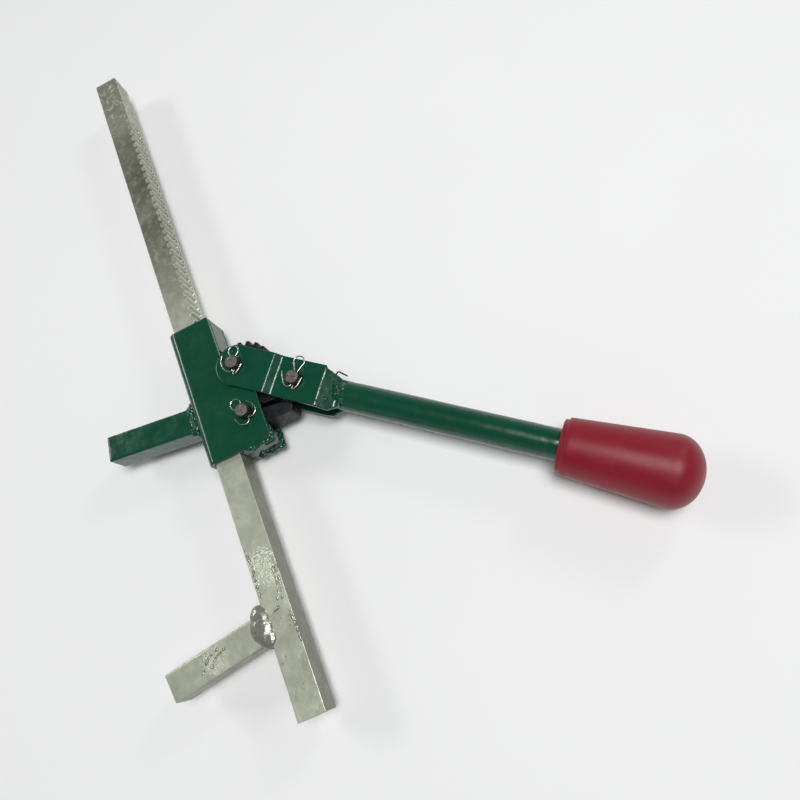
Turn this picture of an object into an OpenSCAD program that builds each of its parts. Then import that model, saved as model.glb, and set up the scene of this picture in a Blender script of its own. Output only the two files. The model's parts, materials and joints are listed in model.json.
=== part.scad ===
// Rack-and-lever strapping tensioner.
// A toothed square bar slides through a folded steel housing. A ratchet wheel on the
// pivot pin meshes with the bar, a pawl carried by the hand lever turns the wheel one
// stroke at a time, and a second pawl in the housing holds it between strokes.
//
// Working axes: the bar's centre line is X = 0, the lever pivot is Y = 0 and the middle
// plane of the tool is Z = 0. place() moves these to the tool's own frame, which stands
// on the plane that the tool lies on, under the middle of its bounding box.

/* [Bar] */
// Side of the square bar
bar_w = 20; // [19:0.5:20]
// Length of the bar above the lever pivot
bar_above = 330.5; // [320:0.5:340]
// Length of the bar below the lever pivot
bar_below = 242.5; // [235:0.5:260]
// Running clearance between the bar and its guides
bar_clearance = 0.3; // [0.2:0.05:0.4]

/* [Rack and ratchet wheel] */
// Distance from tooth to tooth along the bar
tooth_pitch = 7.12; // [7:0.01:7.2]
// Number of teeth on the ratchet wheel
wheel_teeth = 20; // [20:1:20]
// Flank angle of the teeth
pressure_angle = 20; // [18:1:22]
// Tooth spaces cut below the pivot's level
spaces_below = 3; // [3:1:5]
// Tooth spaces cut above the pivot's level
spaces_above = 39; // [36:1:42]
// Depth of a tooth space in the bar
rack_depth = 3; // [2.8:0.1:3.2]
// Width of the uncut strip that closes the tooth spaces at the back of the bar
rack_back_strip = 3; // [2:0.5:3]

/* [Housing] */
// Sheet thickness of the housing
housing_wall = 4; // [3.5:0.5:4]
// Outer bend radius of the housing
housing_bend = 6; // [3.5:0.5:7]
// Height of the housing above the pivot
housing_above = 51.5; // [48:0.5:56]
// Height of the housing below the pivot
housing_below = 61.5; // [58:0.5:66]
// Right edge of the housing's upper part
housing_upper_x = 20.3; // [19:0.1:21]
// Right edge of the housing's lower part
housing_lower_x = 37.2; // [35:0.1:39]
// Radius of the housing's lug round the lever pivot
lug_r = 13.5; // [12:0.5:14]

/* [Prongs] */
// Outward lean of each prong
prong_lean = 8; // [4:0.5:10]
// How far the prongs reach from the bar's centre line
prong_reach = 87; // [70:1:110]
// Height of the housing prong's root below the pivot
housing_prong_y = 21.3; // [18:0.1:24]
// Height of the bar prong's root below the pivot
rack_prong_y = 180.2; // [170:0.1:200]

/* [Lever] */
// Angle of the lever below level
lever_angle = 39.8; // [35:0.1:40]
// Distance from the lever pivot to the drive pawl's pin
drive_pawl_pin_x = 48; // [48:0.5:48]
// Thickness of the lever plates
plate_t = 4; // [3:0.5:4]
// Half of the lever plates' width
plate_half_w = 15.5; // [15:0.5:16]
// Radius of the lever plates' round end
plate_end_r = 16; // [15:0.5:17]
// Diameter of the lever rod
rod_d = 21.8; // [20:0.1:21.8]
// Distance from the lever pivot to the grip's open end
grip_start = 237; // [200:1:260]
// Length of the grip
grip_length = 89; // [80:1:110]
// Diameter of the grip's open end
grip_open_d = 38.5; // [36:0.5:42]
// Largest diameter of the grip
grip_end_d = 48; // [44:0.5:48]

/* [Pins and pawls] */
// Diameter of the three pins
pin_d = 10; // [10:0.1:10]
// Radial clearance of the bores on the pins
pin_clearance = 0.05; // [0.02:0.01:0.1]
// Diameter of the pin heads
pin_head_d = 16; // [14:0.5:17]
// Thickness of the pin heads
pin_head_t = 4.4; // [3.5:0.1:4.6]
// How far a pin stands above the plate that it passes through
pin_stand = 7.4; // [6:0.1:8]
// Diameter of the cotter wire
cotter_wire_d = 1.2; // [1:0.1:1.4]
// Diameter of the spring wire
spring_wire_d = 1.3; // [1:0.1:1.4]
// Thickness of the two pawls
pawl_t = 18; // [16:0.5:18]

/* [Hidden] */

$fn = 64;
eps = 0.01;
overshoot = 5;

green = [0.02, 0.31, 0.21];
zinc = [0.66, 0.67, 0.60];
pin_steel = [0.48, 0.43, 0.39];
cotter_steel = [0.75, 0.75, 0.72];
pawl_black = [0.05, 0.05, 0.08];
wheel_steel = [0.10, 0.12, 0.12];
bronze = [0.62, 0.46, 0.24];
grip_red = [0.58, 0.08, 0.15];

bar_h = bar_w / 2;
guide_gap = bar_h + bar_clearance;
housing_out = guide_gap + housing_wall;

// Rack and wheel
rack_addendum = 1.5;
backlash = 0.15;
tip_clearance = 0.4;
root_clearance = 0.26;
wheel_pitch_r = wheel_teeth * tooth_pitch / (2 * PI);
wheel_base_r = wheel_pitch_r * cos(pressure_angle);
wheel_tip_r = wheel_pitch_r + rack_depth - rack_addendum - tip_clearance;
wheel_root_r = wheel_pitch_r - rack_addendum - root_clearance;
wheel_step = 360 / wheel_teeth;
tooth_thickness = tooth_pitch / 2 - backlash;
wheel_z0 = -6.5;
wheel_z1 = 5;
wheel_bush_r = 8;
spacer_r = 9;
axial_gap = 0.2;

pivot_x = bar_h - rack_addendum + wheel_pitch_r;
bore_r = pin_d / 2 + pin_clearance;

// Heights at which the housing's wide lower part ends and its narrow upper part starts
housing_lower_top = -10;
housing_upper_bottom = -12;

// Lever plates: near the pivot they lie outside the housing, then step in to the pawl's width
plate_side_gap = 0.3;
plate_outer_z = housing_out + plate_side_gap;
plate_inner_z = 11;
plate_step_x0 = 27.5;
plate_step_x1 = 33;
plate_pinch_x0 = 68;
plate_pinch_x1 = 80;
plate_pinch_z = 4.5;
plate_end_x = 84;
rod_start_x = 76;
rod_in_grip = 62;

// Pins
drive_pin_pos = [pivot_x + drive_pawl_pin_x * cos(lever_angle), -drive_pawl_pin_x * sin(lever_angle)];
holding_pin_pos = [25, -36.2];

// Cotters: height of the wire above the outer face, where each eye points, and the bent shape
cotter_lift = 1.9;
pivot_cotter_deg = 62;
drive_cotter_deg = 53;
holding_cotter_deg = 119;
cotter_hole_r = 1.6;
cotter_eye_r = 3.9;
cotter_throat = 3.2;
cotter_eye_x = pin_d / 2 + cotter_throat + cotter_eye_r;
cotter_eye_turn = 140;
cotter_bend_r = 3.5;
cotter_tail = 1.4;
cotter_run_on = 7;
pivot_cotter_bends = [170, 140];
drive_cotter_bends = [155, 155];
holding_cotter_bends = [178, 178];

// Wheel spaces that the pawls drop into, counted from the bar round the underside, and how far
// each pawl turns between standing clear of the wheel's tips and sitting in the space
drive_space = 6;
drive_pawl_lift = 6.5;
holding_space = 3;
holding_pawl_lift = 9.5;

// Pawl hub and washer sizes
hub_r = 8.5;
washer_r = 7.5;
spring_coil_r = 6.4;
spring_room = 5;
spring_z0 = -pawl_t / 2 + spring_wire_d / 2 + 0.1;

// Bounding box: the prongs end on the left, the grip's domed end on the right
grip_dome = 19;
grip_shoulder_x = pivot_x + (grip_start + grip_length - grip_dome) * cos(lever_angle);
grip_tip_x = grip_shoulder_x
    + norm([grip_dome * cos(lever_angle), grip_end_d / 2 * sin(lever_angle)]);
prong_tip_x = -prong_reach - bar_h * sin(prong_lean);
centre_x = round(grip_tip_x + prong_tip_x) / 2;
centre_y = (bar_above - bar_below) / 2;
base_z = grip_end_d / 2;

module place() {
    translate([-centre_x, -centre_y, base_z])
        children();
}

module lever_frame() {
    place()
        translate([pivot_x, 0, 0])
            rotate([0, 0, -lever_angle])
                children();
}

// ---- Wire sweep -------------------------------------------------------------------

function unit(v) = v / norm(v);
function tangent(path, i) = unit(path[min(i + 1, len(path) - 1)] - path[max(i - 1, 0)]);
function square_to(v, t) = unit(v - (v * t) * t);
function normals(path, n, i = 0) =
    i == len(path) ? [] :
    let (m = square_to(n, tangent(path, i)))
    concat([m], normals(path, m, i + 1));
function arc(centre, r, a0, a1, steps) =
    [for (i = [0:steps]) let (a = a0 + (a1 - a0) * i / steps) centre + r * [cos(a), sin(a), 0]];

// A round wire of radius r along a path; start is any direction that isn't along its first stretch
module wire(path, r, start = [0, 0, 1]) {
    sides = 8;
    ms = normals(path, start);
    last = len(path) - 1;
    points = [for (i = [0:last])
        let (across = cross(tangent(path, i), ms[i]))
        for (s = [0:sides - 1])
            let (a = 360 * s / sides)
            path[i] + r * (cos(a) * ms[i] + sin(a) * across)];
    walls = [for (i = [0:last - 1])
        for (s = [0:sides - 1])
            [i * sides + s, (i + 1) * sides + s,
             (i + 1) * sides + (s + 1) % sides, i * sides + (s + 1) % sides]];
    start_cap = [for (s = [0:sides - 1]) s];
    end_cap = [for (s = [sides - 1:-1:0]) last * sides + s];
    polyhedron(points, concat(walls, [start_cap, end_cap]), convexity = 8);
}

// ---- Housing ----------------------------------------------------------------------

// Cross-section of the folded sheet in X and Z
module channel_section() {
    reach = pivot_x + lug_r + overshoot;
    difference() {
        union() {
            translate([-housing_out + housing_bend, -housing_out])
                square([reach + housing_out, 2 * housing_out]);
            translate([-housing_out, -housing_out + housing_bend])
                square([housing_bend + eps, 2 * (housing_out - housing_bend)]);
            for (side = [-1, 1])
                translate([-housing_out + housing_bend, side * (housing_out - housing_bend)])
                    circle(r = housing_bend);
        }
        translate([-guide_gap, -guide_gap])
            square([reach + housing_out + overshoot, 2 * guide_gap]);
    }
}

// Outline of the housing seen from the front
module channel_outline() {
    left = housing_out + overshoot;
    translate([-left, -housing_below])
        square([left + housing_lower_x, housing_below + housing_lower_top]);
    translate([-left, housing_upper_bottom])
        square([left + housing_upper_x, housing_above - housing_upper_bottom]);
    translate([pivot_x, 0])
        circle(r = lug_r);
}

module housing_channel() {
    color(green)
        place()
            difference() {
                intersection() {
                    translate([0, housing_above + overshoot, 0])
                        rotate([90, 0, 0])
                            linear_extrude(housing_above + housing_below + 2 * overshoot)
                                channel_section();
                    translate([0, 0, -housing_out - overshoot])
                        linear_extrude(2 * (housing_out + overshoot))
                            channel_outline();
                }
                for (p = [[pivot_x, 0], holding_pin_pos])
                    translate([p[0], p[1], -housing_out - overshoot])
                        cylinder(r = bore_r, h = 2 * (housing_out + overshoot));
            }
}

// Block between the flanges that closes the channel round the bar, above the wheel
module top_guide_block() {
    bottom = 20.5;
    wheel_room = 1;
    color(green)
        place()
            difference() {
                translate([guide_gap, bottom, -guide_gap])
                    cube([housing_upper_x - guide_gap, housing_above - bottom, 2 * guide_gap]);
                translate([pivot_x, 0, -guide_gap - 1])
                    cylinder(r = wheel_tip_r + wheel_room, h = 2 * guide_gap + 2);
            }
}

// Block between the flanges that closes the channel round the bar, below the wheel
module bottom_guide_block() {
    height = 10;
    right_inset = 1.2;
    color(green)
        place()
            translate([guide_gap, -housing_below, -guide_gap])
                cube([housing_lower_x - right_inset - guide_gap, height, 2 * guide_gap]);
}

// A square prong that leaves a face at X = root_x and leans by lean degrees
module prong(root_x, root_y, lean) {
    length = (prong_reach + root_x) / cos(lean);
    buried = 6;
    translate([root_x, root_y, 0])
        difference() {
            rotate([0, 0, 180 - lean])
                translate([-buried, -bar_h, -bar_h])
                    cube([length + buried, bar_w, bar_w]);
            translate([0, -bar_w, -bar_w])
                cube(2 * bar_w);
        }
}

module housing_prong() {
    color(green)
        place()
            prong(-housing_out, -housing_prong_y, prong_lean);
}

// ---- Bar --------------------------------------------------------------------------

// One tooth space of the rack, centred on Y = 0
module rack_space() {
    tan_flank = tan(pressure_angle);
    half_pitch = (tooth_pitch - tooth_thickness) / 2;
    out = 1;
    half_mouth = half_pitch + (rack_addendum + out) * tan_flank;
    half_root = half_pitch - (rack_depth - rack_addendum) * tan_flank;
    polygon([
        [bar_h + out, -half_mouth],
        [bar_h + out, half_mouth],
        [bar_h - rack_depth, half_root],
        [bar_h - rack_depth, -half_root]
    ]);
}

module rack_bar() {
    color(zinc)
        place()
            difference() {
                translate([-bar_h, -bar_below, -bar_h])
                    cube([bar_w, bar_below + bar_above, bar_w]);
                for (k = [-spaces_below:spaces_above - 1])
                    translate([0, (k + 0.5) * tooth_pitch, rack_back_strip - bar_h])
                        linear_extrude(bar_w)
                            rack_space();
            }
}

module rack_prong() {
    color(zinc)
        place()
            prong(-bar_h, -rack_prong_y, -prong_lean);
}

// ---- Wheel ------------------------------------------------------------------------

function involute_deg(r) =
    let (a = acos(min(1, wheel_base_r / r)))
    tan(a) * 180 / PI - a;
function half_tooth_deg(r) =
    tooth_thickness / (2 * wheel_pitch_r) * 180 / PI + involute_deg(wheel_pitch_r)
    - involute_deg(max(r, wheel_base_r));

// Radii at which a tooth flank is drawn, from the root to the tip
flank_radii = concat([wheel_root_r],
    [for (i = [0:4]) wheel_base_r + (wheel_tip_r - wheel_base_r) * i / 4]);

function polar(r, a) = [r * cos(a), r * sin(a)];

// Half a step turned, so that a space faces the rack tooth at the pivot's level
module wheel_outline() {
    last = len(flank_radii) - 1;
    polygon([for (k = [0:wheel_teeth - 1])
        let (middle = (k + 0.5) * wheel_step)
        each concat(
            [for (i = [0:last]) polar(flank_radii[i], middle - half_tooth_deg(flank_radii[i]))],
            [for (i = [last:-1:0]) polar(flank_radii[i], middle + half_tooth_deg(flank_radii[i]))])]);
}

module ratchet_wheel() {
    color(wheel_steel)
        place()
            translate([pivot_x, 0, wheel_z0])
                difference() {
                    linear_extrude(wheel_z1 - wheel_z0)
                        wheel_outline();
                    translate([0, 0, -1])
                        cylinder(r = wheel_bush_r, h = wheel_z1 - wheel_z0 + 2);
                }
}

module ring(r_out, r_in, z0, z1) {
    translate([0, 0, z0])
        difference() {
            cylinder(r = r_out, h = z1 - z0);
            translate([0, 0, -1])
                cylinder(r = r_in, h = z1 - z0 + 2);
        }
}

module wheel_bush() {
    color(bronze)
        place()
            translate([pivot_x, 0, 0])
                ring(wheel_bush_r, bore_r, wheel_z0, wheel_z1);
}

module wheel_spacer_front() {
    color(pin_steel)
        place()
            translate([pivot_x, 0, 0])
                ring(spacer_r, bore_r, wheel_z1 + axial_gap, guide_gap);
}

module wheel_spacer_rear() {
    color(pin_steel)
        place()
            translate([pivot_x, 0, 0])
                ring(spacer_r, bore_r, -guide_gap, wheel_z0 - axial_gap);
}

// ---- Pins and cotters -------------------------------------------------------------

// A headed pin between the outer faces at -reach and +reach, drilled for its cotter along angle
module headed_pin(reach, angle) {
    chamfer = 0.6;
    top = reach + pin_stand;
    difference() {
        union() {
            translate([0, 0, -reach - axial_gap - pin_head_t])
                cylinder(r = pin_head_d / 2, h = pin_head_t);
            translate([0, 0, -reach - axial_gap])
                cylinder(r = pin_d / 2, h = reach + axial_gap + top - chamfer);
            translate([0, 0, top - chamfer])
                cylinder(r1 = pin_d / 2, r2 = pin_d / 2 - chamfer, h = chamfer);
        }
        translate([0, 0, reach + cotter_lift])
            rotate([0, 0, angle])
                rotate([0, 90, 0])
                    cylinder(r = cotter_hole_r, h = 2 * pin_d, center = true);
    }
}

// A split cotter whose eye points along angle. Each leg leaves the pin, turns back beside it
// through its own angle in bends and runs on straight.
module cotter(reach, angle, bends) {
    leg_gap = cotter_wire_d / 2 + 0.05;
    tail_x = -pin_d / 2 - cotter_tail;
    steps = 8;
    legs = [[1, bends[0]], [-1, bends[1]]];
    translate([0, 0, reach + cotter_lift])
        rotate([0, 0, angle])
            for (leg = legs) {
                side = leg[0];
                turn = leg[1];
                eye = arc([cotter_eye_x, 0, 0], cotter_eye_r, 3 * side, side * cotter_eye_turn, 12);
                shank = [[pin_d / 2 - 0.5, side * leg_gap, 0], [tail_x, side * leg_gap, 0]];
                curl = arc([tail_x, side * (leg_gap + cotter_bend_r), 0], cotter_bend_r,
                           -side * 90, -side * (90 + turn), steps);
                run_end = curl[steps] + cotter_run_on * [-cos(turn), side * sin(turn), 0];
                wire(concat(eye, shank, [for (i = [1:steps]) curl[i]], [run_end]), cotter_wire_d / 2);
            }
}

module pivot_pin() {
    color(pin_steel)
        place()
            translate([pivot_x, 0, 0])
                headed_pin(plate_outer_z + plate_t, pivot_cotter_deg);
}

module pivot_cotter() {
    color(cotter_steel)
        place()
            translate([pivot_x, 0, 0])
                cotter(plate_outer_z + plate_t, pivot_cotter_deg, pivot_cotter_bends);
}

module holding_pawl_pin() {
    color(pin_steel)
        place()
            translate(concat(holding_pin_pos, 0))
                headed_pin(housing_out, holding_cotter_deg);
}

module holding_pawl_cotter() {
    color(cotter_steel)
        place()
            translate(concat(holding_pin_pos, 0))
                cotter(housing_out, holding_cotter_deg, holding_cotter_bends);
}

module drive_pawl_pin() {
    color(pin_steel)
        place()
            translate(concat(drive_pin_pos, 0))
                headed_pin(plate_inner_z + plate_t, drive_cotter_deg);
}

module drive_pawl_cotter() {
    color(cotter_steel)
        place()
            translate(concat(drive_pin_pos, 0))
                cotter(plate_inner_z + plate_t, drive_cotter_deg, drive_cotter_bends);
}

// ---- Lever ------------------------------------------------------------------------

// The plate's outline as a solid that is tall enough to hold its steps
module plate_outline() {
    height = plate_outer_z + plate_t + 1;
    cylinder(r = plate_end_r, h = height);
    translate([0, -plate_half_w, 0])
        cube([plate_pinch_x0, 2 * plate_half_w, height]);
    linear_extrude(height)
        polygon([
            [plate_pinch_x0 - 4, plate_half_w],
            [plate_pinch_x1, rod_d / 2 - 1.2],
            [plate_end_x, -rod_d / 2 + 1.2],
            [plate_pinch_x1 - 4, -plate_half_w],
            [plate_pinch_x0 - 4, -plate_half_w]
        ]);
}

// Side profile of the front plate in X and Z: outside the housing, stepped in, then pinched
module plate_side() {
    inner = [
        [-plate_end_r - 1, plate_outer_z],
        [plate_step_x0, plate_outer_z],
        [plate_step_x1, plate_inner_z],
        [plate_pinch_x0, plate_inner_z],
        [plate_pinch_x1, plate_pinch_z],
        [plate_end_x + 1, plate_pinch_z]
    ];
    last = len(inner) - 1;
    polygon(concat(inner, [for (i = [last:-1:0]) inner[i] + [0, plate_t]]));
}

// The front plate's solid, without its bores
module plate_blank() {
    depth = 2 * plate_end_r + 2;
    intersection() {
        union()
            plate_outline();
        translate([0, depth / 2, 0])
            rotate([90, 0, 0])
                linear_extrude(depth)
                    plate_side();
    }
}

module lever_plate() {
    difference() {
        plate_blank();
        for (x = [0, drive_pawl_pin_x])
            translate([x, 0, 0])
                cylinder(r = bore_r, h = plate_outer_z + plate_t + 2);
    }
}

module lever_plate_front() {
    color(green)
        lever_frame()
            lever_plate();
}

module lever_plate_rear() {
    color(green)
        lever_frame()
            mirror([0, 0, 1])
                lever_plate();
}

// Round bar whose end is flattened to a tongue between the pinched plates
module lever_rod() {
    color(green)
        lever_frame()
            difference() {
                translate([rod_start_x, 0, 0])
                    rotate([0, 90, 0])
                        cylinder(d = rod_d, h = grip_start + rod_in_grip - rod_start_x);
                for (side = [0, 1])
                    mirror([0, 0, side]) {
                        plate_blank();
                        translate([rod_start_x - 1, -rod_d, plate_pinch_z + plate_t / 2])
                            cube([plate_end_x - rod_start_x + 1, 2 * rod_d, rod_d]);
                    }
            }
}

// Grip profile: X is the radius and Y the distance from the open end
module grip_profile() {
    rim = 3;
    rim_step = 1.4;
    rim_r = grip_open_d / 2 - rim_step;
    shoulder = grip_length - grip_dome;
    max_r = grip_end_d / 2;
    steps = 16;
    polygon(concat(
        [[0, 0], [rim_r, 0], [rim_r, rim], [grip_open_d / 2, rim], [grip_open_d / 2 + 0.3, rim + 0.8]],
        [for (i = [0:steps])
            let (a = 90 * i / steps)
            [max_r * cos(a), shoulder + grip_dome * sin(a)]]));
}

module lever_grip() {
    color(grip_red)
        lever_frame()
            translate([grip_start, 0, 0])
                rotate([0, 90, 0])
                    difference() {
                        rotate_extrude($fn = 96)
                            grip_profile();
                        translate([0, 0, -1])
                            cylinder(d = rod_d + 0.1, h = rod_in_grip + 2);
                    }
}

// ---- Pawls ------------------------------------------------------------------------

// A wheel space counted from the one that faces the bar, as an angle round the wheel
function space_deg(count) = 180 + count * wheel_step;

// The part of a pawl that enters a wheel space, from its tip outward on either side
nose_lag = 1;
nose_tip_r = wheel_root_r + 0.7;
nose_root_r = wheel_tip_r + 0.7;
nose_tip_deg = 1.8;
nose_root_deg = 4.2;

function nose(middle) = [
    polar(nose_root_r, middle - nose_root_deg),
    polar(nose_tip_r, middle - nose_tip_deg),
    polar(nose_tip_r, middle + nose_tip_deg),
    polar(nose_root_r, middle + nose_root_deg)
];

// Moves points given from the lever pivot to a pin, turned to the lifted position
function lifted(points, pin, lift) = [
    for (p = points)
        let (q = p + [pivot_x, 0] - pin)
        [q[0] * cos(lift) - q[1] * sin(lift), q[0] * sin(lift) + q[1] * cos(lift)]
];

// Thick plate pawl with a hub; behind the hub it is cut away for the coil of its spring
module pawl_body() {
    difference() {
        union() {
            translate([0, 0, -pawl_t / 2])
                cylinder(r = hub_r, h = pawl_t);
            translate([0, 0, -pawl_t / 2])
                linear_extrude(pawl_t)
                    children();
        }
        translate([0, 0, -pawl_t])
            cylinder(r = bore_r, h = 2 * pawl_t);
        translate([0, 0, -pawl_t / 2 - 1])
            cylinder(r = hub_r + 0.7, h = spring_room + 1);
    }
}

module drive_pawl() {
    middle = space_deg(drive_space) + nose_lag;
    body = concat(
        nose(middle),
        [polar(26.5, middle + 9), polar(30, middle + 20), [34, -22], [36, -36],
         polar(31, middle - 6), polar(26.5, middle - 9)]);
    color(pawl_black)
        place()
            translate(concat(drive_pin_pos, 0))
                pawl_body()
                    polygon(lifted(body, drive_pin_pos, drive_pawl_lift));
}

module holding_pawl() {
    middle = space_deg(holding_space) + nose_lag;
    arm = concat(
        nose(middle),
        [polar(26, middle + 8), polar(32, middle + 20), polar(38, middle + 30),
         polar(40, middle + 12), polar(25.6, middle - 5)]);
    tail_end = 33.5;
    tail_bottom = -12;
    color(pawl_black)
        place()
            translate(concat(holding_pin_pos, 0))
                pawl_body() {
                    polygon(lifted(arm, holding_pin_pos, holding_pawl_lift));
                    polygon([
                        [0, hub_r], [8, 1], [tail_end - 9, -2.5], [tail_end - 2, -4.5],
                        [tail_end, -8], [tail_end - 2.5, tail_bottom], [9, tail_bottom], [0, -hub_r]
                    ]);
                }
}

module washer_pair(inner_face) {
    for (side = [0, 1])
        mirror([0, 0, side])
            ring(washer_r, bore_r, pawl_t / 2 + axial_gap, inner_face);
}

module holding_pawl_washers() {
    color(pin_steel)
        place()
            translate(concat(holding_pin_pos, 0))
                washer_pair(guide_gap);
}

module drive_pawl_washers() {
    color(pin_steel)
        place()
            translate(concat(drive_pin_pos, 0))
                washer_pair(plate_inner_z);
}

// A coil round a pin, from its rear end upward: it starts at the angle phase and turns by sweep
function coil(phase, sweep) =
    let (steps = round(sweep / 18))
    [for (i = [0:steps])
        let (turned = sweep * i / steps, a = phase + turned)
        [spring_coil_r * cos(a), spring_coil_r * sin(a),
         spring_z0 + turned / 360 * (spring_wire_d + 0.12)]];

// Torsion spring of the holding pawl: one arm stands on the lower guide block and the other
// lies against the side of the pawl that faces the bar
module holding_pawl_spring() {
    windings = coil(180, 648);
    top_z = windings[len(windings) - 1][2];
    foot = [[-spring_coil_r, 14.2, spring_z0], [-spring_coil_r, 3, spring_z0]];
    finger = [[-10.4, 3.1, top_z], [-12.1, 1.3, top_z], [-12.6, -6, top_z]];
    color(pin_steel)
        place()
            translate(concat(holding_pin_pos, 0))
                mirror([0, 1, 0])
                    wire(concat(foot, windings, finger), spring_wire_d / 2);
}

// Torsion spring of the drive pawl: one arm lies under the pawl, and the long arm runs inside
// the lever and hooks over its top edge
module drive_pawl_spring() {
    windings = coil(72, 702);
    top_z = windings[len(windings) - 1][2];
    hook = [
        [32, -14.4, 0], [25.2, -16, 0], [23.6, -16.3, 0], [22.6, -15.6, -0.5],
        [21.6, -11, -1.5], [19, -3, -3.5], [14, 2.2, -7], [8, 4.1, spring_z0]
    ];
    finger = [[-0.9, 9.2, top_z], [-5.5, 13.1, top_z]];
    color(pin_steel)
        lever_frame()
            translate([drive_pawl_pin_x, 0, 0])
                mirror([0, 1, 0])
                    wire(concat(hook, windings, finger), spring_wire_d / 2);
}

housing_channel();
top_guide_block();
bottom_guide_block();
housing_prong();
pivot_pin();
pivot_cotter();
wheel_spacer_front();
wheel_spacer_rear();
holding_pawl_pin();
holding_pawl_cotter();
holding_pawl_washers();
holding_pawl_spring();
rack_bar();
rack_prong();
ratchet_wheel();
wheel_bush();
lever_plate_front();
lever_plate_rear();
lever_rod();
lever_grip();
drive_pawl_pin();
drive_pawl_cotter();
drive_pawl_washers();
drive_pawl_spring();
drive_pawl();
holding_pawl();
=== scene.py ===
"""Looks of the strapping tensioner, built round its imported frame. Lengths are in metres."""

import json
import math

import bpy
from mathutils import Matrix, Vector, noise

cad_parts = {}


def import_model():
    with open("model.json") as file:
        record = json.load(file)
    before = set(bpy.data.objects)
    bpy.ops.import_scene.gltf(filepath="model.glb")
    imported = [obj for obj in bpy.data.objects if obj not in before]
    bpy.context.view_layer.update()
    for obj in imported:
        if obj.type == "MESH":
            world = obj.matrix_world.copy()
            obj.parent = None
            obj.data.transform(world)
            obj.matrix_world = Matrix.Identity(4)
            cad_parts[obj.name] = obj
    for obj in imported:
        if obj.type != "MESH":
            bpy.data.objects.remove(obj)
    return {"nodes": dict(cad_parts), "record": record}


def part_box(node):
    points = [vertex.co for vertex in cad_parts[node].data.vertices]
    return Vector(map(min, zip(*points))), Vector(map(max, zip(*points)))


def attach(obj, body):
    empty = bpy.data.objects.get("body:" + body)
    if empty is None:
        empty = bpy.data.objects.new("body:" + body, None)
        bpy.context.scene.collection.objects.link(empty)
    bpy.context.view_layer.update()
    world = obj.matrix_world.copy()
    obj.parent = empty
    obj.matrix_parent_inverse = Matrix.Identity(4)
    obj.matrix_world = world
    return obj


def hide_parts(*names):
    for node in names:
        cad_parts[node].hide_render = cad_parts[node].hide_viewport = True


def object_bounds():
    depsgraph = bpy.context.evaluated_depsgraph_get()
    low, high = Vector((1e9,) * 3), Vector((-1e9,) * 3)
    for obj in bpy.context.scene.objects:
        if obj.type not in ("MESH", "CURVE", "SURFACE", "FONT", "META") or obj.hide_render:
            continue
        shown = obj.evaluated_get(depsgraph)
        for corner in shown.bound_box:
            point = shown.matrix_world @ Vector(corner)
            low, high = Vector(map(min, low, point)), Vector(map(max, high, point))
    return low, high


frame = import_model()
cad_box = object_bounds()
nodes = frame["nodes"]
MM = 0.001


# ---- Places, read from the frame -------------------------------------------------------

def centre_of(node):
    low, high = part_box(node)
    return (low + high) / 2


BAR_LOW, BAR_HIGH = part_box("rack_bar")
BAR_X = (BAR_LOW.x + BAR_HIGH.x) / 2
BAR_HALF = (BAR_HIGH.x - BAR_LOW.x) / 2
BAR_FRONT = BAR_HALF / MM
MID_Z = (BAR_LOW.z + BAR_HIGH.z) / 2
HOUSING_LOW, HOUSING_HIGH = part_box("housing_channel")
PIVOT = centre_of("wheel_bush")
DRIVE_PIN = centre_of("drive_pawl_washers")
HOLDING_PIN = centre_of("holding_pawl_washers")
LEVER_ANGLE = math.atan2(DRIVE_PIN.y - PIVOT.y, DRIVE_PIN.x - PIVOT.x)
LEVER_FRAME = Matrix.Translation((PIVOT.x, PIVOT.y, MID_Z)) @ Matrix.Rotation(LEVER_ANGLE, 4, "Z")


def bar_point(x, y, z):
    """A place in mm: x from the bar's middle, y from the pivot, z from the tool's middle plane.

    The bar's front face is at z = BAR_FRONT."""
    return Vector((BAR_X + x * MM, PIVOT.y + y * MM, MID_Z + z * MM))


def lever_point(x, y, z):
    """A place in mm: x along the lever from the pivot, y across it, z from the middle plane."""
    return LEVER_FRAME @ Vector((x * MM, y * MM, z * MM))


def lever_extent(node):
    """How far a node reaches along the lever, measured from the pivot."""
    inverse = LEVER_FRAME.inverted()
    along = [(inverse @ v.co).x for v in nodes[node].data.vertices]
    return min(along), max(along)


def round_radius(node):
    """The radius of a round node that lies along the lever."""
    low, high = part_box(node)
    return (high.z - low.z) / 2


# ---- Materials --------------------------------------------------------------------------

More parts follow.
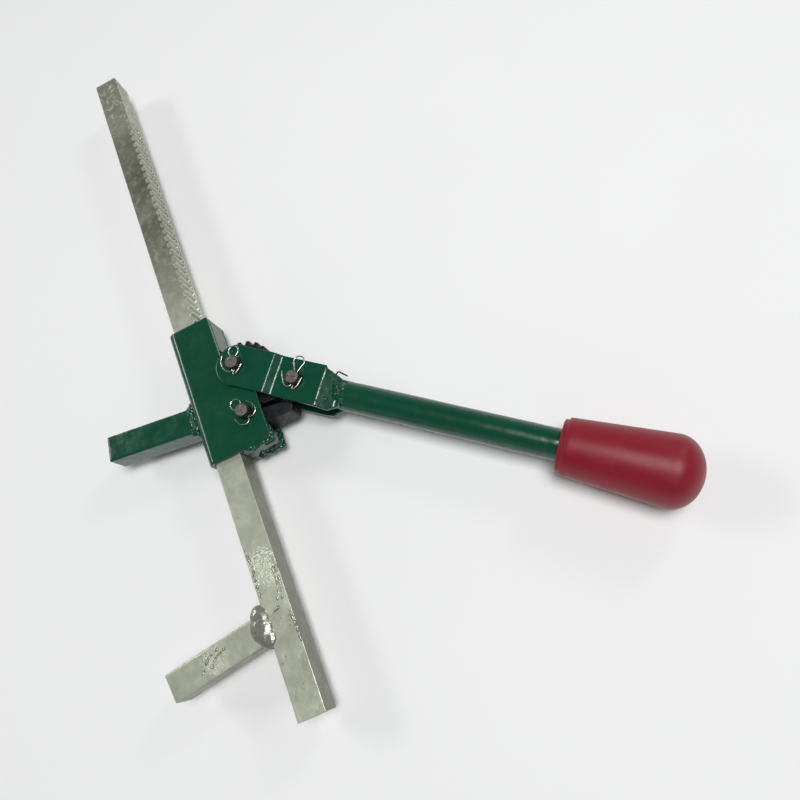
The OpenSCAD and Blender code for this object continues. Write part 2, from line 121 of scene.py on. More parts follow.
class Paint:
    """A node material under construction. Textures run in the object's own coordinates."""

    def __init__(self, name):
        self.material = bpy.data.materials.new(name)
        self.material.use_nodes = True
        self.tree = self.material.node_tree
        self.tree.nodes.clear()
        self.output = self.node("ShaderNodeOutputMaterial")
        self.shader = self.node("ShaderNodeBsdfPrincipled")
        self.link(self.shader.outputs["BSDF"], self.output.inputs["Surface"])
        self.coords = self.node("ShaderNodeTexCoord").outputs["Object"]
        self.height = None

    def node(self, kind, **values):
        made = self.tree.nodes.new(kind)
        for key, value in values.items():
            setattr(made, key, value)
        return made

    def link(self, source, target):
        self.tree.links.new(source, target)

    def set(self, **values):
        """Sets shader inputs; an underscore stands for a space in the input's name."""
        for key, value in values.items():
            self.shader.inputs[key.replace("_", " ")].default_value = value

    def noise(self, scale, detail=3, roughness=0.5, distortion=0):
        """Cloudy noise of about scale clouds in a metre."""
        made = self.node("ShaderNodeTexNoise")
        made.inputs["Scale"].default_value = scale
        made.inputs["Detail"].default_value = detail
        made.inputs["Roughness"].default_value = roughness
        made.inputs["Distortion"].default_value = distortion
        self.link(self.coords, made.inputs["Vector"])
        return made.outputs["Fac"]

    def cells(self, scale):
        """Distance to the nearest of scattered points, about scale of them in a metre."""
        made = self.node("ShaderNodeTexVoronoi", feature="F1")
        made.inputs["Scale"].default_value = scale
        self.link(self.coords, made.inputs["Vector"])
        return made.outputs["Distance"]

    def spread(self, value, low, high, to_low=0.0, to_high=1.0):
        """Maps low..high to to_low..to_high and holds it there."""
        made = self.node("ShaderNodeMapRange")
        self.link(value, made.inputs["Value"])
        pairs = (("From Min", low), ("From Max", high), ("To Min", to_low), ("To Max", to_high))
        for key, number in pairs:
            made.inputs[key].default_value = number
        return made.outputs["Result"]

    def math(self, operation, a, b):
        made = self.node("ShaderNodeMath", operation=operation)
        for socket, value in zip(made.inputs, (a, b)):
            if isinstance(value, (int, float)):
                socket.default_value = value
            else:
                self.link(value, socket)
        return made.outputs["Value"]

    def mix(self, factor, a, b):
        """The colour a where factor is 0, and b where it is 1."""
        made = self.node("ShaderNodeMix", data_type="RGBA")
        colour_inputs = [s for s in made.inputs if s.type == "RGBA"]
        for socket, value in zip([made.inputs["Factor"], *colour_inputs], (factor, a, b)):
            if isinstance(value, tuple):
                socket.default_value = (*value, 1)
            elif isinstance(value, (int, float)):
                socket.default_value = value
            else:
                self.link(value, socket)
        return next(s for s in made.outputs if s.type == "RGBA")

    def axis(self, name):
        made = self.node("ShaderNodeSeparateXYZ")
        self.link(self.coords, made.inputs["Vector"])
        return made.outputs[name]

    def faces_front(self, low, high):
        """1 where the object's own surface faces its front or back, 0 on its sides."""
        made = self.node("ShaderNodeSeparateXYZ")
        self.link(self.node("ShaderNodeTexCoord").outputs["Normal"], made.inputs["Vector"])
        return self.spread(self.math("ABSOLUTE", made.outputs["Z"], 0.0), low, high)

    def near(self, place, radius, soft):
        """1 within radius of a place and 0 beyond radius plus soft."""
        made = self.node("ShaderNodeVectorMath", operation="DISTANCE")
        self.link(self.coords, made.inputs[0])
        made.inputs[1].default_value = place
        return self.spread(made.outputs["Value"], radius, radius + soft, 1.0, 0.0)

    def edges(self, low, high):
        """1 on outward edges of a finely meshed piece."""
        made = self.node("ShaderNodeNewGeometry")
        return self.spread(made.outputs["Pointiness"], low, high)

    def bump(self, height, distance, strength):
        """Adds a bump on top of those that the material already has."""
        made = self.node("ShaderNodeBump")
        made.inputs["Strength"].default_value = strength
        made.inputs["Distance"].default_value = distance
        self.link(height, made.inputs["Height"])
        if self.height:
            self.link(self.height, made.inputs["Normal"])
        self.height = made.outputs["Normal"]
        self.link(self.height, self.shader.inputs["Normal"])

    def colour(self, value):
        self.link(value, self.shader.inputs["Base Color"])

    def rough(self, value):
        self.link(value, self.shader.inputs["Roughness"])


def green_paint():
    """Thick gloss enamel: orange peel, dull specks, paler edges, and bare steel beside the bar."""
    deep_green = (0.0006, 0.048, 0.024)
    fresh_green = (0.0016, 0.068, 0.036)
    dull_green = (0.004, 0.082, 0.05)
    edge_green = (0.009, 0.11, 0.07)
    bare_steel = (0.42, 0.43, 0.40)
    beside_bar = (BAR_X + BAR_HALF + 2.4 * MM, HOUSING_LOW.y, MID_Z + 7 * MM)
    p = Paint("green_enamel")
    tone = p.mix(p.noise(30, 4, 0.6), deep_green, fresh_green)
    tone = p.mix(p.spread(p.noise(170, 5, 0.7), 0.56, 0.85), tone, dull_green)
    tone = p.mix(p.edges(0.54, 0.64), tone, edge_green)
    rubbed = p.near(beside_bar, radius=4.2 * MM, soft=1.6 * MM)
    worn = p.math("MULTIPLY", rubbed, p.spread(p.noise(300, 3), 0.36, 0.44))
    p.colour(p.mix(worn, tone, bare_steel))
    p.link(p.math("MULTIPLY", worn, 0.9), p.shader.inputs["Metallic"])
    p.rough(p.spread(p.noise(95, 4, 0.6), 0.3, 0.75, 0.16, 0.3))
    p.set(Coat_Weight=0.25, Coat_Roughness=0.05, Specular_IOR_Level=0.5)
    p.bump(p.noise(90, 2, 0.4), 0.5 * MM, 0.2)
    p.bump(p.noise(600, 2, 0.5), 0.05 * MM, 0.25)
    return p.material


def zinc_tone(p, dark, light):
    """Dark zinc with lighter stretches: a painted reflection on the bar's top end, lighter zinc on both
    sides of the housing, and random patches. Side faces get painted shade below the housing and painted
    light above it.

    Returns the colour and how much of the top end a place belongs to."""
    along = p.axis("Y")
    top_end = p.spread(along, BAR_HIGH.y - 82 * MM, BAR_HIGH.y - 34 * MM)
    above = p.spread(along, HOUSING_HIGH.y + 110 * MM, HOUSING_HIGH.y + 10 * MM, 0.0, 0.5)
    below = p.spread(along, HOUSING_LOW.y + 40 * MM, HOUSING_LOW.y, 0.0, 0.16)
    patches = p.spread(p.noise(20, 4, 0.6, 0.4), 0.42, 0.66, 0.0, 0.22)
    # The bar's top end is lightened as a painted reflection; the stretches beside the housing and the
    # noise patches are lighter zinc.
    painted_reflection_and_pale_patches = p.math("MAXIMUM", top_end, p.math("ADD", p.math("ADD", above, below), patches))
    base = p.mix(painted_reflection_and_pale_patches, dark, light)
    bloom = p.mix(p.spread(p.noise(150, 5, 0.65), 0.5, 0.75, 0.0, 0.5), base, light)
    # Painted shade and light on the side faces: darkened towards near black below the housing, and
    # painted lighter above it.
    side_shade_colour = (0.012, 0.013, 0.012)
    painted_shade_side = p.mix(0.62, bloom, side_shade_colour)
    painted_light_side = p.mix(0.5, bloom, light)
    side = p.mix(p.spread(along, HOUSING_LOW.y, HOUSING_HIGH.y), painted_shade_side, painted_light_side)
    return p.mix(p.faces_front(0.3, 0.75), side, bloom), top_end


def zinc(name, metallic, dark, light, rough_low, rough_high):
    """Hot-dip zinc: lumpy, mottled at the bar's top end, pitted, and wrinkled beside the weld."""
    pit_colour = (0.08, 0.08, 0.065)
    p = Paint(name)
    # tone carries the painted reflection on the bar's top end and the painted shade and light on the
    # side faces.
    tone, top_end = zinc_tone(p, dark, light)
    mottle = p.math("MULTIPLY", top_end, p.spread(p.noise(210, 5, 0.8), 0.5, 0.62, 0.75, 0.0))
    tone = p.mix(mottle, tone, dark)
    pits = p.spread(p.cells(230), 0.06, 0.22, 1.0, 0.0)
    specks = p.math("MULTIPLY", pits, p.spread(p.noise(60, 3), 0.5, 0.62))
    p.colour(p.mix(p.math("MULTIPLY", specks, 0.7), tone, pit_colour))
    p.rough(p.spread(p.noise(70, 5, 0.7), 0.3, 0.72, rough_low, rough_high))
    p.set(Metallic=metallic, Specular_IOR_Level=0.5)
    p.bump(p.noise(48, 3, 0.5, 0.3), 1.0 * MM, 0.25)
    p.bump(p.noise(240, 4, 0.6, 0.5), 0.4 * MM, 0.3)
    p.bump(pits, 0.2 * MM, 0.3)
    on_bar = p.near(bar_point(-1, -143, BAR_FRONT), radius=8 * MM, soft=9 * MM)
    on_prong = p.near(bar_point(-52, -185, BAR_FRONT), radius=4 * MM, soft=9 * MM)
    wrinkled = p.math("MAXIMUM", on_bar, on_prong)
    p.bump(p.math("MULTIPLY", wrinkled, p.noise(430, 4, 0.6, 1.6)), 1.1 * MM, 0.6)
    return p.material


def zinc_plate():
    dark = (0.155, 0.16, 0.12)
    light = (0.64, 0.67, 0.53)
    return zinc("zinc_coat", 0.45, dark, light, rough_low=0.24, rough_high=0.46)


def zinc_weld():
    """The same coat over weld metal, smoother and darker, so that it mirrors more."""
    dark = (0.10, 0.10, 0.085)
    light = (0.46, 0.47, 0.40)
    return zinc("zinc_weld", 0.7, dark, light, rough_low=0.2, rough_high=0.36)


def pin_steel():
    """Plain steel, slightly browned, with hammered ends: the sides painted dark as shade, the ends paler
    as lit faces.
    """
    brown_end = (0.07, 0.062, 0.055)
    pale_end = (0.24, 0.215, 0.19)
    # Painted shade: the pins' side faces get these darker colours, while the ends keep the paler lit
    # colours.
    painted_shade_dark = (0.02, 0.018, 0.017)
    painted_shade_brown = (0.075, 0.066, 0.06)
    stain = (0.03, 0.025, 0.02)
    p = Paint("brown_steel")
    ends = p.mix(p.noise(420, 4, 0.6), brown_end, pale_end)
    sides = p.mix(p.noise(420, 4, 0.6), painted_shade_dark, painted_shade_brown)
    tone = p.mix(p.faces_front(0.35, 0.9), sides, ends)
    p.colour(p.mix(p.spread(p.noise(900, 3), 0.55, 0.7), tone, stain))
    p.rough(p.spread(p.noise(500, 3), 0.3, 0.7, 0.34, 0.6))
    p.set(Metallic=0.6)
    p.bump(p.noise(520, 3, 0.6), 0.7 * MM, 0.5)
    return p.material


def bright_wire():
    p = Paint("bright_wire")
    p.colour(p.mix(p.noise(600, 3), (0.42, 0.42, 0.40), (0.80, 0.80, 0.77)))
    p.rough(p.spread(p.noise(900, 2), 0.3, 0.7, 0.16, 0.34))
    p.set(Metallic=1.0)
    p.bump(p.noise(1500, 2), 0.08 * MM, 0.3)
    return p.material


def spring_wire():
    p = Paint("black_wire")
    p.colour(p.mix(p.noise(500, 3), (0.008, 0.008, 0.009), (0.035, 0.034, 0.034)))
    p.rough(p.spread(p.noise(800, 2), 0.3, 0.7, 0.26, 0.45))
    p.set(Metallic=0.5)
    p.bump(p.noise(1400, 2), 0.06 * MM, 0.3)
    return p.material


def black_steel():
    """Blackened steel: blue-black, grainy, lighter where edges are rubbed."""
    rubbed_edge = (0.04, 0.045, 0.055)
    p = Paint("black_oxide")
    tone = p.mix(p.noise(120, 4, 0.6), (0.003, 0.0035, 0.007), (0.009, 0.011, 0.018))
    p.colour(p.mix(p.edges(0.54, 0.66), tone, rubbed_edge))
    p.rough(p.spread(p.noise(300, 4, 0.6), 0.3, 0.75, 0.3, 0.55))
    p.set(Metallic=0.1, Specular_IOR_Level=0.35)
    p.bump(p.noise(420, 4, 0.6), 0.35 * MM, 0.4)
    return p.material


def bronze():
    p = Paint("bush_bronze")
    p.colour(p.mix(p.noise(260, 3), (0.36, 0.21, 0.08), (0.62, 0.40, 0.18)))
    p.rough(p.spread(p.noise(700, 2), 0.3, 0.7, 0.25, 0.45))
    p.set(Metallic=1.0)
    p.bump(p.noise(900, 2), 0.1 * MM, 0.3)
    return p.material


def red_grip():
    """Satin moulded plastic with faint clouds of colour, small paler specks and a fine grain."""
    pale_speck = (0.31, 0.015, 0.03)
    p = Paint("red_plastic")
    tone = p.mix(p.noise(22, 4, 0.6, 0.5), (0.20, 0.0035, 0.012), (0.265, 0.006, 0.020))
    p.colour(p.mix(p.spread(p.noise(160, 4, 0.7), 0.6, 0.85), tone, pale_speck))
    p.rough(p.spread(p.noise(55, 4, 0.6), 0.3, 0.75, 0.36, 0.52))
    p.set(Specular_IOR_Level=0.42, Sheen_Weight=0.06, Sheen_Roughness=0.4)
    p.bump(p.noise(45, 3, 0.5), 0.9 * MM, 0.2)
    p.bump(p.noise(900, 3, 0.6), 0.08 * MM, 0.35)
    return p.material


MATERIALS = {
    "green_paint": green_paint(),
    "zinc_plate": zinc_plate(),
    "pin_steel": pin_steel(),
    "cotter_wire": bright_wire(),
    "spring_wire": spring_wire(),
    "black_steel": black_steel(),
    "bronze": bronze(),
    "red_grip": red_grip(),
}
WELDS = {"zinc_plate": zinc_weld(), "green_paint": MATERIALS["green_paint"]}


def finish_piece(piece, body, slot, *replaced, material=None):
    """Gives a new piece its material, picked by slot unless one is given, puts it in its body and hides
    the CAD nodes that it stands for.
    """
    piece.data.materials.clear()
    piece.data.materials.append(material or MATERIALS[slot])
    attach(piece, body)
    if replaced:
        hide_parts(*replaced)
    return piece


# ---- CAD nodes: material, and edges rounded by modifiers ---------------------------------

def dress_node(name, slot):
    piece = nodes[name]
    piece.data.materials.clear()
    piece.data.materials.append(MATERIALS[slot])


def weld(piece):
    """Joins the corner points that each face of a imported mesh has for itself."""
    made = piece.modifiers.new("join", "WELD")
    made.merge_threshold = 0.002 * MM


def remesh(piece, voxel):
    made = piece.modifiers.new("remesh", "REMESH")
    made.mode = "VOXEL"
    made.voxel_size = voxel
    made.use_smooth_shade = True


def relax(piece, passes):
    made = piece.modifiers.new("relax", "SMOOTH")
    made.factor = 0.5
    made.iterations = passes


def roughen(piece, size, strength):
    """Small lumps over the whole surface, in the mesh itself."""
    name = f"{piece.name}_lumps"
    texture = bpy.data.textures.new(name, "CLOUDS")
    texture.noise_scale = size
    texture.noise_depth = 2
    made = piece.modifiers.new(name, "DISPLACE")
    made.texture = texture
    made.texture_coords = "LOCAL"
    made.strength = strength
    made.mid_level = 0.6


def soften(node, voxel, passes, lump_size, lump):
    """Rounds every edge of a node by remeshing it finely and relaxing it, then adds lumps."""
    piece = nodes[node]
    weld(piece)
    remesh(piece, voxel)
    relax(piece, passes)
    roughen(piece, lump_size, lump)


def bevel(node, width):
    piece = nodes[node]
    weld(piece)
    made = piece.modifiers.new("round", "BEVEL")
    made.width = width
    made.segments = 2
    made.limit_method = "ANGLE"
    made.angle_limit = math.radians(35)
    made.harden_normals = False
    even = piece.modifiers.new("even", "WEIGHTED_NORMAL")
    even.keep_sharp = True


def subdivide(node):
    """Rounds a faceted wire."""
    piece = nodes[node]
    weld(piece)
    made = piece.modifiers.new("round", "SUBSURF")
    made.levels = 1
    made.render_levels = 1


for record_row in frame["record"]["subparts"]:
    dress_node(record_row["node"], record_row["material_slot"])

for name in ("housing_channel", "top_guide_block", "bottom_guide_block"):
    soften(name, voxel=0.6 * MM, passes=8, lump_size=12 * MM, lump=0.2 * MM)
for name in ("housing_prong", "rack_prong"):
    soften(name, voxel=0.55 * MM, passes=16, lump_size=9 * MM, lump=0.35 * MM)
for name in ("lever_plate_front", "lever_plate_rear"):
    soften(name, voxel=0.5 * MM, passes=14, lump_size=10 * MM, lump=0.25 * MM)
soften("rack_bar", voxel=0.5 * MM, passes=7, lump_size=7 * MM, lump=0.3 * MM)
for name in ("pivot_pin", "drive_pawl_pin", "holding_pawl_pin"):
    soften(name, voxel=0.3 * MM, passes=3, lump_size=2.2 * MM, lump=0.7 * MM)
for name in ("drive_pawl", "holding_pawl"):
    soften(name, voxel=0.4 * MM, passes=5, lump_size=4 * MM, lump=0.3 * MM)
soften("ratchet_wheel", voxel=0.35 * MM, passes=2, lump_size=3 * MM, lump=0.15 * MM)
soften("lever_rod", voxel=0.55 * MM, passes=4, lump_size=12 * MM, lump=0.3 * MM)
for name in ("wheel_bush", "wheel_spacer_front", "wheel_spacer_rear",
             "drive_pawl_washers", "holding_pawl_washers"):
    bevel(name, width=0.25 * MM)
for name in ("drive_pawl_spring", "holding_pawl_spring"):
    subdivide(name)


# ---- Small mesh tools ---------------------------------------------------------------------

def mesh_piece(name, points, faces, smooth=True):
    mesh = bpy.data.meshes.new(name)
    mesh.from_pydata([tuple(p) for p in points], [], faces)
    mesh.update()
    mesh.polygons.foreach_set("use_smooth", [smooth] * len(mesh.polygons))
    piece = bpy.data.objects.new(name, mesh)
    bpy.context.scene.collection.objects.link(piece)
    return piece


def apply_modifiers(piece):
    graph = bpy.context.evaluated_depsgraph_get()
    graph.update()
    made = bpy.data.meshes.new_from_object(piece.evaluated_get(graph))
    piece.modifiers.clear()
    piece.data = made
    piece.data.polygons.foreach_set("use_smooth", [True] * len(made.polygons))


def skin(rings, sides):
    """Faces of a closed skin over so many rings of points, with a flat face at each end."""
    faces = []
    for i in range(rings - 1):
        for k in range(sides):
            n = (k + 1) % sides
            faces.append((i * sides + k, i * sides + n, (i + 1) * sides + n, (i + 1) * sides + k))
    last = (rings - 1) * sides
    faces.append(tuple(range(sides - 1, -1, -1)))
    faces.append(tuple(range(last, last + sides)))
    return faces


def lathe(name, profile, place, sides=96):
    """Turns (distance along, radius) pairs round the X axis of place."""
    points = []
    for along, radius in profile:
        for k in range(sides):
            a = 2 * math.pi * k / sides
            points.append(place @ Vector((along, radius * math.cos(a), radius * math.sin(a))))
    return mesh_piece(name, points, skin(len(profile), sides))


def smooth_path(points, steps=6):
    """A Catmull-Rom curve through the points."""
    made = []
    ends = [points[0] * 2 - points[1], *points, points[-1] * 2 - points[-2]]
    for i in range(1, len(ends) - 2):
        a, b, c, d = ends[i - 1:i + 3]
        for s in range(steps):
            t = s / steps
            made.append(0.5 * (2 * b + (c - a) * t + (2 * a - 5 * b + 4 * c - d) * t * t
                               + (3 * b - a - 3 * c + d) * t ** 3))
    return [*made, points[-1]]


def wire_piece(name, path, radius, sides=14):
    """A closed round wire along a path, its ends slightly domed."""
    end_share = 0.55
    dome = 0.3
    points = []
    normal = Vector((0, 0, 1))
    rings = [(path[0], end_share), *[(p, 1.0) for p in path], (path[-1], end_share)]
    line = [p for p, _ in rings]
    last = len(rings) - 1
    for i, (centre, share) in enumerate(rings):
        inner = min(max(i, 1), last - 1)
        ahead = (line[inner + 1] - line[inner - 1]).normalized()
        centre = centre + ahead * radius * dome * ((i == last) - (i == 0))
        normal = (normal - ahead * normal.dot(ahead)).normalized()
        across = ahead.cross(normal)
        for k in range(sides):
            a = 2 * math.pi * k / sides
            points.append(centre + (normal * math.cos(a) + across * math.sin(a)) * radius * share)
    return mesh_piece(name, points, skin(len(rings), sides))


# ---- Grip ----------------------------------------------------------------------------------

def grip():
    """Tapered plastic grip with a stepped rim, a bore for the rod and a domed end."""
    start, end = lever_extent("lever_grip")
    end_radius = round_radius("lever_grip")
    bore_radius = round_radius("lever_rod") + 0.1 * MM
    bore_depth = 26 * MM
    open_radius = 19.25 * MM
    rim_radius = open_radius - 1.4 * MM
    body_radius = open_radius + 0.2 * MM
    rim_end = start + 3 * MM
    body_start = rim_end + 1 * MM
    dome = 19 * MM
    shoulder = end - dome
    steps = 24

    bore = [(start + bore_depth, bore_radius), (start + 1 * MM, bore_radius),
            (start + 0.2 * MM, bore_radius + 0.8 * MM), (start, bore_radius + 1.6 * MM)]
    rim = [(start, rim_radius - 1.2 * MM), (start + 0.3 * MM, rim_radius - 0.3 * MM),
           (start + 1 * MM, rim_radius), (rim_end - 0.3 * MM, rim_radius)]
    step_up = [(rim_end, rim_radius + 0.3 * MM), (rim_end + 0.1 * MM, body_radius - 0.6 * MM),
               (body_start, body_radius)]
    profile = bore + rim + step_up
    for i in range(1, steps + 1):
        share = i / steps
        profile.append((body_start + (shoulder - body_start) * share,
                        body_radius + (end_radius - body_radius) * share))
    for i in range(1, steps + 1):
        a = math.pi / 2 * i / steps
        profile.append((shoulder + dome * math.sin(a), max(end_radius * math.cos(a), 0.2 * MM)))
    piece = lathe("grip_moulding", profile, LEVER_FRAME)
    finish_piece(piece, "lever", "red_grip", "lever_grip")


grip()


# ---- Cotters -------------------------------------------------------------------------------

COTTER_WIRE = 0.5 * MM
EYE_OPENING = math.radians(48)
EYE_STEPS = 12
STRAND_GAP = 1.3


def cotter(name, body, node, pin, eye, radius, left, right):
    """One wire from the end of its left leg, through the pin, round an eye and back, to its right leg.

    eye is the loop's centre and left and right are the legs' points, in mm from the pin's axis."""
    eye = Vector((*eye, 0))
    away = eye.normalized()
    across = Vector((-away.y, away.x, 0))
    start = math.atan2(-away.y, -away.x)
    turn = 2 * (math.pi - EYE_OPENING)
    loop = []
    for i in range(EYE_STEPS + 1):
        a = start - EYE_OPENING - turn * i / EYE_STEPS
        loop.append(eye + Vector((math.cos(a), math.sin(a), 0)) * radius)
    shank = [away * t for t in (-3, 0, 4)]
    strand = across * STRAND_GAP / 2
    path = [*[Vector(p) for p in reversed(left)], *[p + strand for p in shank], *loop,
            *[p - strand for p in reversed(shank)], *[Vector(p) for p in right]]
    place = Vector((pin.x, pin.y, centre_of(node).z))
    path = [place + p * MM for p in smooth_path(path)]
    finish_piece(wire_piece(name, path, COTTER_WIRE), body, "cotter_wire", node)


cotter("pivot_cotter_wire", "housing", "pivot_cotter", PIVOT, eye=(2.7, 9.8), radius=3.8,
       left=[(-4.0, -4.6, 0), (-6.4, -3.4, 0.1), (-8.5, -0.8, 0.2),
             (-9.1, 3.6, 0.3), (-8.2, 7.2, 0.4), (-6.3, 10.1, 0.6)],
       right=[(-2.6, -5.8, 0), (-2.8, -7.4, 0.1), (-0.8, -7.2, 0.2),
              (2.2, -5.4, 0.3), (5.4, -3.0, 0.5)])
cotter("drive_cotter_wire", "lever", "drive_pawl_cotter", DRIVE_PIN, eye=(7.9, 10.3), radius=4.1,
       left=[(-4.9, -3.6, 0), (-7.2, -2.8, 0.1), (-8.2, -0.4, 0.2),
             (-7.8, 4.3, 0.3), (-6.4, 9.5, 0.5)],
       right=[(-3.5, -5.6, 0), (-3.2, -7.0, 0.1), (-0.8, -6.6, 0.2),
              (2.2, -4.9, 0.3), (5.4, -2.2, 0.5)])
cotter("holding_cotter_wire", "housing", "holding_pawl_cotter", HOLDING_PIN,
       eye=(-4.3, 8.1), radius=4.0,
       left=[(1.6, -5.2, 0), (1.4, -7.8, 0.1), (-1.6, -9.6, 0.2),
             (-5.6, -7.4, 0.2), (-8.2, -2.4, 0.3)],
       right=[(3.4, -5.4, 0), (6.6, -4.6, 0.1), (8.6, -2.0, 0.2),
              (7.5, 2.7, 0.3), (4.2, 6.8, 0.5)])


# ---- Welds ----------------------------------------------------------------------------------

def ellipsoid(centre, radii, rings=7, sides=12):
    points, faces = [], []
    for i in range(1, rings):
        a = math.pi * i / rings
        for k in range(sides):
            b = 2 * math.pi * k / sides
            direction = (math.sin(a) * math.cos(b), math.sin(a) * math.sin(b), math.cos(a))
            points.append(centre + Vector([r * d for r, d in zip(radii, direction)]))
    for i in range(rings - 2):
        for k in range(sides):
            n = (k + 1) % sides
            faces.append((i * sides + k, (i + 1) * sides + k, (i + 1) * sides + n, i * sides + n))
    last = (rings - 2) * sides
    faces += [tuple(range(sides)), tuple(range(last + sides - 1, last - 1, -1))]
    return points, faces


def weld_bead(name, body, slot, blobs, lump=0.5 * MM, voxel=0.35 * MM, passes=12):
    """A lumpy bead: overlapping blobs (centre, radii) grown together, relaxed and roughened."""
    points, faces = [], []
    for centre, radii in blobs:
        more, rings = ellipsoid(centre, radii)
        offset = len(points)
        points += more
        faces += [tuple(k + offset for k in face) for face in rings]
    piece = mesh_piece(name, points, faces)
    remesh(piece, voxel)
    relax(piece, passes)
    roughen(piece, 3.4 * MM, lump)
    apply_modifiers(piece)
    finish_piece(piece, body, slot, material=WELDS[slot])


noise.seed_set(1)


def bead_line(points, radius, seed, step=1.7 * MM, wobble=0.4):
    """Blobs along a polyline, each a little different in size and place.

    noise_vector depends on the seed set above, which Blender would otherwise take from the clock."""
    waves_in_metre = 500
    blobs = []
    for a, b in zip(points, points[1:]):
        pieces = max(1, round((b - a).length / step))
        for i in range(pieces):
            centre = a.lerp(b, i / pieces)
            where = centre * waves_in_metre + Vector((seed, 0, 0))
            size = radius * (1 + wobble * noise.noise(where))
            shift = noise.noise_vector(where * 1.7) * radius * 0.35
            blobs.append((centre + shift, Vector((size, size, size * 0.85))))
    return blobs


def prong_root(node):
    """The wall that a prong leaves, in X, and the lower and upper edge of its root, in Y."""
    low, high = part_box(node)
    near = [v.co for v in nodes[node].data.vertices if v.co.x > high.x - 0.01 * MM]
    return high.x, min(p.y for p in near), max(p.y for p in near)


def flares(node, reach, radius, seed, top=10):
    """Fillets of weld above and below a prong's root, from the back face up to a height in mm."""
    x, low_y, high_y = prong_root(node)
    blobs = []
    for y, way in ((high_y, 1), (low_y, -1)):
        for out, up in ((0.4, 0.5 * reach), (0.5 * reach, 0.3), (reach, -0.5)):
            line = [Vector((x - out * MM, y + way * up * MM, MID_Z + z * MM)) for z in (-10, 0, top)]
            blobs += bead_line(line, radius, seed + out + way)
    return blobs


def bar_prong_weld():
    """A heavy lens of weld metal over the front of the root, with fillets above and below."""
    sunk = 1.6
    blobs = flares("rack_prong", reach=5, radius=2.7 * MM, seed=11, top=8)
    for x, y, radius_x, radius_y, rise in ((-13.2, -173.5, 7.6, 9.5, 2.2),
                                           (-14.0, -180.0, 9.0, 11.5, 2.6),
                                           (-12.0, -186.0, 7.6, 9.0, 1.9)):
        radii = Vector((radius_x, radius_y, rise + sunk)) * MM
        blobs.append((bar_point(x, y, BAR_FRONT - sunk), radii))
    weld_bead("bar_prong_weld", "bar", "zinc_plate", blobs, lump=0.35 * MM, passes=34)


def housing_prong_weld():
    """Fillets above and below the prong's root, and a double bead across its front."""
    x, low_y, high_y = prong_root("housing_prong")
    front = MID_Z + BAR_HALF
    line = [Vector((x - 0.5 * MM, high_y, front)), Vector((x - 0.5 * MM, low_y, front))]
    second_line = [p - Vector((2.6 * MM, 0, 0.7 * MM)) for p in line]
    blobs = flares("housing_prong", reach=4.5, radius=2.4 * MM, seed=23)
    blobs += bead_line(line, 2.3 * MM, seed=5, step=1.9 * MM)
    blobs += bead_line(second_line, 2.2 * MM, seed=7, step=2.2 * MM)
    weld_bead("housing_prong_weld", "housing", "green_paint", blobs, lump=0.6 * MM)


def zinc_runs():
    """Thin runs that the zinc left on the front of the bar and of its prong, as (x, y) in mm."""
    z = BAR_FRONT - 0.35
    bar_runs = (((8.6, -140), (8.4, -152), (7.4, -162), (5.6, -168), (1.0, -172), (-4.4, -174.5)),
                ((6.4, -146), (6.0, -155), (4.6, -163), (2.4, -168)),
                ((-8.6, -128), (-7.4, -140), (-8.2, -152), (-7.4, -163)),
                ((7.8, -176), (9.0, -186), (9.2, -198)))
    prong_runs = (((-47.5, -180), (-52, -181.5), (-56.5, -184), (-60, -189), (-64, -194)),
                  ((-43, -182), (-48.5, -183.5), (-52.5, -187), (-55, -191)))
    for kind, runs, seed, step in (("bar", bar_runs, 31, 1.3 * MM), ("prong", prong_runs, 41, 1.4 * MM)):
        for number, run in enumerate(runs):
            line = [bar_point(x, y, z) for x, y in run]
            blobs = bead_line(line, 1.05 * MM, seed + number, step, wobble=0.8)
            weld_bead(f"{kind}_run_{number}", "bar", "zinc_plate", blobs,
                      lump=0.45 * MM, voxel=0.25 * MM, passes=7)


def block_welds():
    """Beads round the lower guide block's outer end, and lumps on its lower face and corner."""
    low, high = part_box("bottom_guide_block")
    edge_x = high.x + 0.5 * MM
    for side, name in ((1, "front"), (-1, "rear")):
        z = MID_Z + side * 11.2 * MM
        line = [Vector((low.x + 7 * MM, low.y - 0.2 * MM, z)), Vector((edge_x, low.y, z)),
                Vector((edge_x, high.y + 1 * MM, z))]
        corner = [Vector((high.x - 1.2 * MM, low.y + y * MM, MID_Z + side * 6 * MM)) for y in (1.5, 8)]
        pad = [Vector((low.x + x * MM, low.y + 0.4 * MM, MID_Z + side * 7 * MM)) for x in (10, 24)]
        blobs = bead_line(line, 2.2 * MM, seed=37 + side, step=2.4 * MM, wobble=0.6)
        blobs += bead_line(corner, 3.0 * MM, seed=43 + side, step=3 * MM)
        blobs += bead_line(pad, 2.4 * MM, seed=47 + side, step=3.6 * MM, wobble=0.6)
        weld_bead(f"block_weld_{name}", "housing", "green_paint", blobs, lump=0.7 * MM)


def rod_welds():
    """Weld that fills the way from the pinched plates up to the rod, with a few loose lumps.

    Each lump is its place on the lever and its radius, in mm."""
    lumps = ((69.5, -3.4, 14.6, 1.4), (68.2, -11.5, 14.4, 1.3), (73.9, -8.2, 12.2, 2.0),
             (76.4, 4.2, 11.2, 2.2), (81.4, 3.3, 10.6, 2.2), (79.0, -3.0, 11.0, 2.0),
             (72.0, 8.5, 12.6, 1.6), (84.5, -6.5, 8.6, 2.0))
    for side, name in ((1, "front"), (-1, "rear")):
        blobs = [(lever_point(77, 0, side * 6.0), Vector((8.6, 9.8, 5.3)) * MM),
                 (lever_point(83.5, 0, side * 5.4), Vector((7.0, 8.6, 5.8)) * MM)]
        for x, y, z, r in lumps:
            blobs.append((lever_point(x, side * y, side * z), Vector((r, r, 0.8 * r)) * MM))
        weld_bead(f"rod_weld_{name}", "lever", "green_paint", blobs, lump=0.5 * MM)


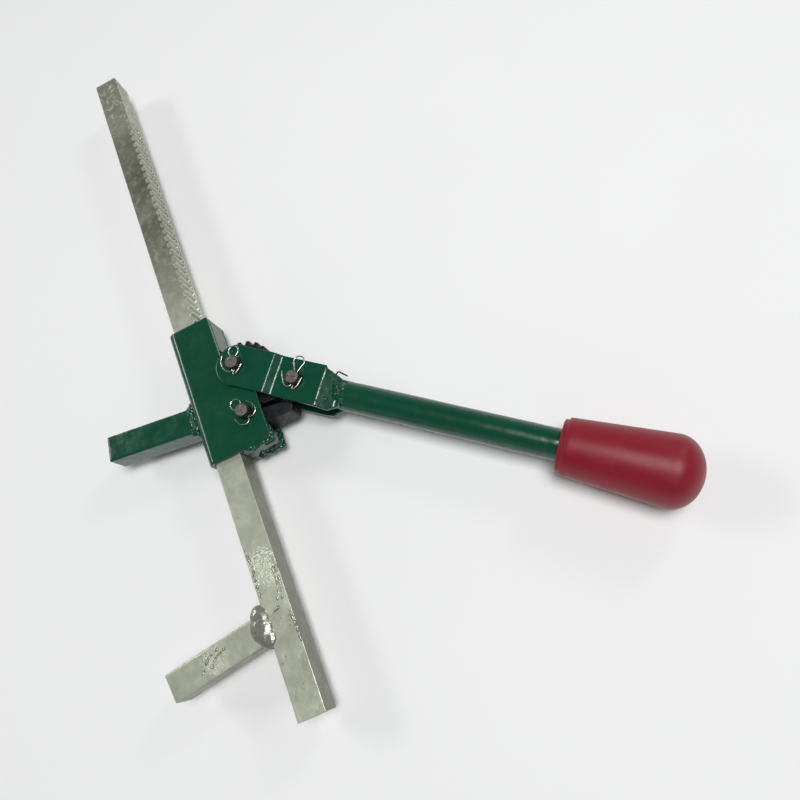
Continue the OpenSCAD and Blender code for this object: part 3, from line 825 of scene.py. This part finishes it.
bar_prong_weld()
housing_prong_weld()
zinc_runs()
block_welds()
rod_welds()


# ---- Floor, light and camera ----------------------------------------------------------------

def direction_of(azimuth, elevation):
    """The direction of an azimuth and elevation in degrees; azimuth 0 is towards -Y."""
    a, e = math.radians(azimuth), math.radians(elevation)
    return Vector((math.sin(a) * math.cos(e), -math.cos(a) * math.cos(e), math.sin(e)))


def floor():
    half = 6.0
    corners = [(-half, -half, 0), (half, -half, 0), (half, half, 0), (-half, half, 0)]
    piece = mesh_piece("floor", corners, [(0, 1, 2, 3)], smooth=False)
    p = Paint("pale_floor")
    p.colour(p.mix(p.noise(6, 3), (0.88, 0.88, 0.88), (0.91, 0.91, 0.91)))
    p.set(Roughness=0.8, Specular_IOR_Level=0.2)
    piece.data.materials.append(p.material)


def softbox(name, azimuth, elevation, distance, size, power):
    """An area light that looks at the tool's middle."""
    target = (cad_box[0] + cad_box[1]) / 2
    back = direction_of(azimuth, elevation)
    light = bpy.data.lights.new(name, "AREA")
    light.shape = "RECTANGLE"
    light.size, light.size_y = size
    light.energy = power
    lamp = bpy.data.objects.new(name, light)
    lamp.location = target + back * distance
    lamp.rotation_euler = (-back).to_track_quat("-Z", "Y").to_euler()
    bpy.context.scene.collection.objects.link(lamp)


def world(horizon, zenith):
    """A sky that fades from its strength at the horizon to its strength overhead."""
    made = bpy.data.worlds.new("studio")
    made.use_nodes = True
    tree = made.node_tree
    direction = tree.nodes.new("ShaderNodeTexCoord")
    split = tree.nodes.new("ShaderNodeSeparateXYZ")
    fade = tree.nodes.new("ShaderNodeMapRange")
    fade.interpolation_type = "SMOOTHSTEP"
    values = (("From Min", 0.15), ("From Max", 0.75), ("To Min", horizon), ("To Max", zenith))
    for key, value in values:
        fade.inputs[key].default_value = value
    background = tree.nodes["Background"]
    background.inputs["Color"].default_value = (0.95, 0.98, 1.0, 1)
    tree.links.new(direction.outputs["Generated"], split.inputs["Vector"])
    tree.links.new(split.outputs["Z"], fade.inputs["Value"])
    tree.links.new(fade.outputs["Result"], background.inputs["Strength"])
    bpy.context.scene.world = made


def camera(azimuth, elevation, roll, distance, lens):
    """Looks down on the tool from its lower right, rolled so that the bar leans to the left."""
    target = Vector((BAR_X + 129.44 * MM, BAR_LOW.y + 168.08 * MM, MID_Z))
    back = direction_of(azimuth, elevation)
    data = bpy.data.cameras.new("camera")
    data.sensor_width = 36
    data.lens = lens
    data.clip_start = 0.01
    made = bpy.data.objects.new("camera", data)
    made.location = target + back * distance
    level = (-back).to_track_quat("-Z", "Y").to_matrix()
    made.rotation_euler = (level @ Matrix.Rotation(math.radians(roll), 3, "Z")).to_euler()
    bpy.context.scene.collection.objects.link(made)
    bpy.context.scene.camera = made


bpy.context.scene.view_settings.view_transform = "Standard"
floor()
world(horizon=0.38, zenith=0.09)
softbox("key", azimuth=50, elevation=76, distance=2.6, size=(1.0, 1.0), power=50)
softbox("side", azimuth=-125.5, elevation=37, distance=2.4, size=(0.9, 0.3), power=9)
softbox("rim", azimuth=115, elevation=33, distance=2.0, size=(0.3, 0.3), power=3.4)
camera(azimuth=14.78, elevation=68.33, roll=-39.76, distance=479.6 * MM, lens=30.65)
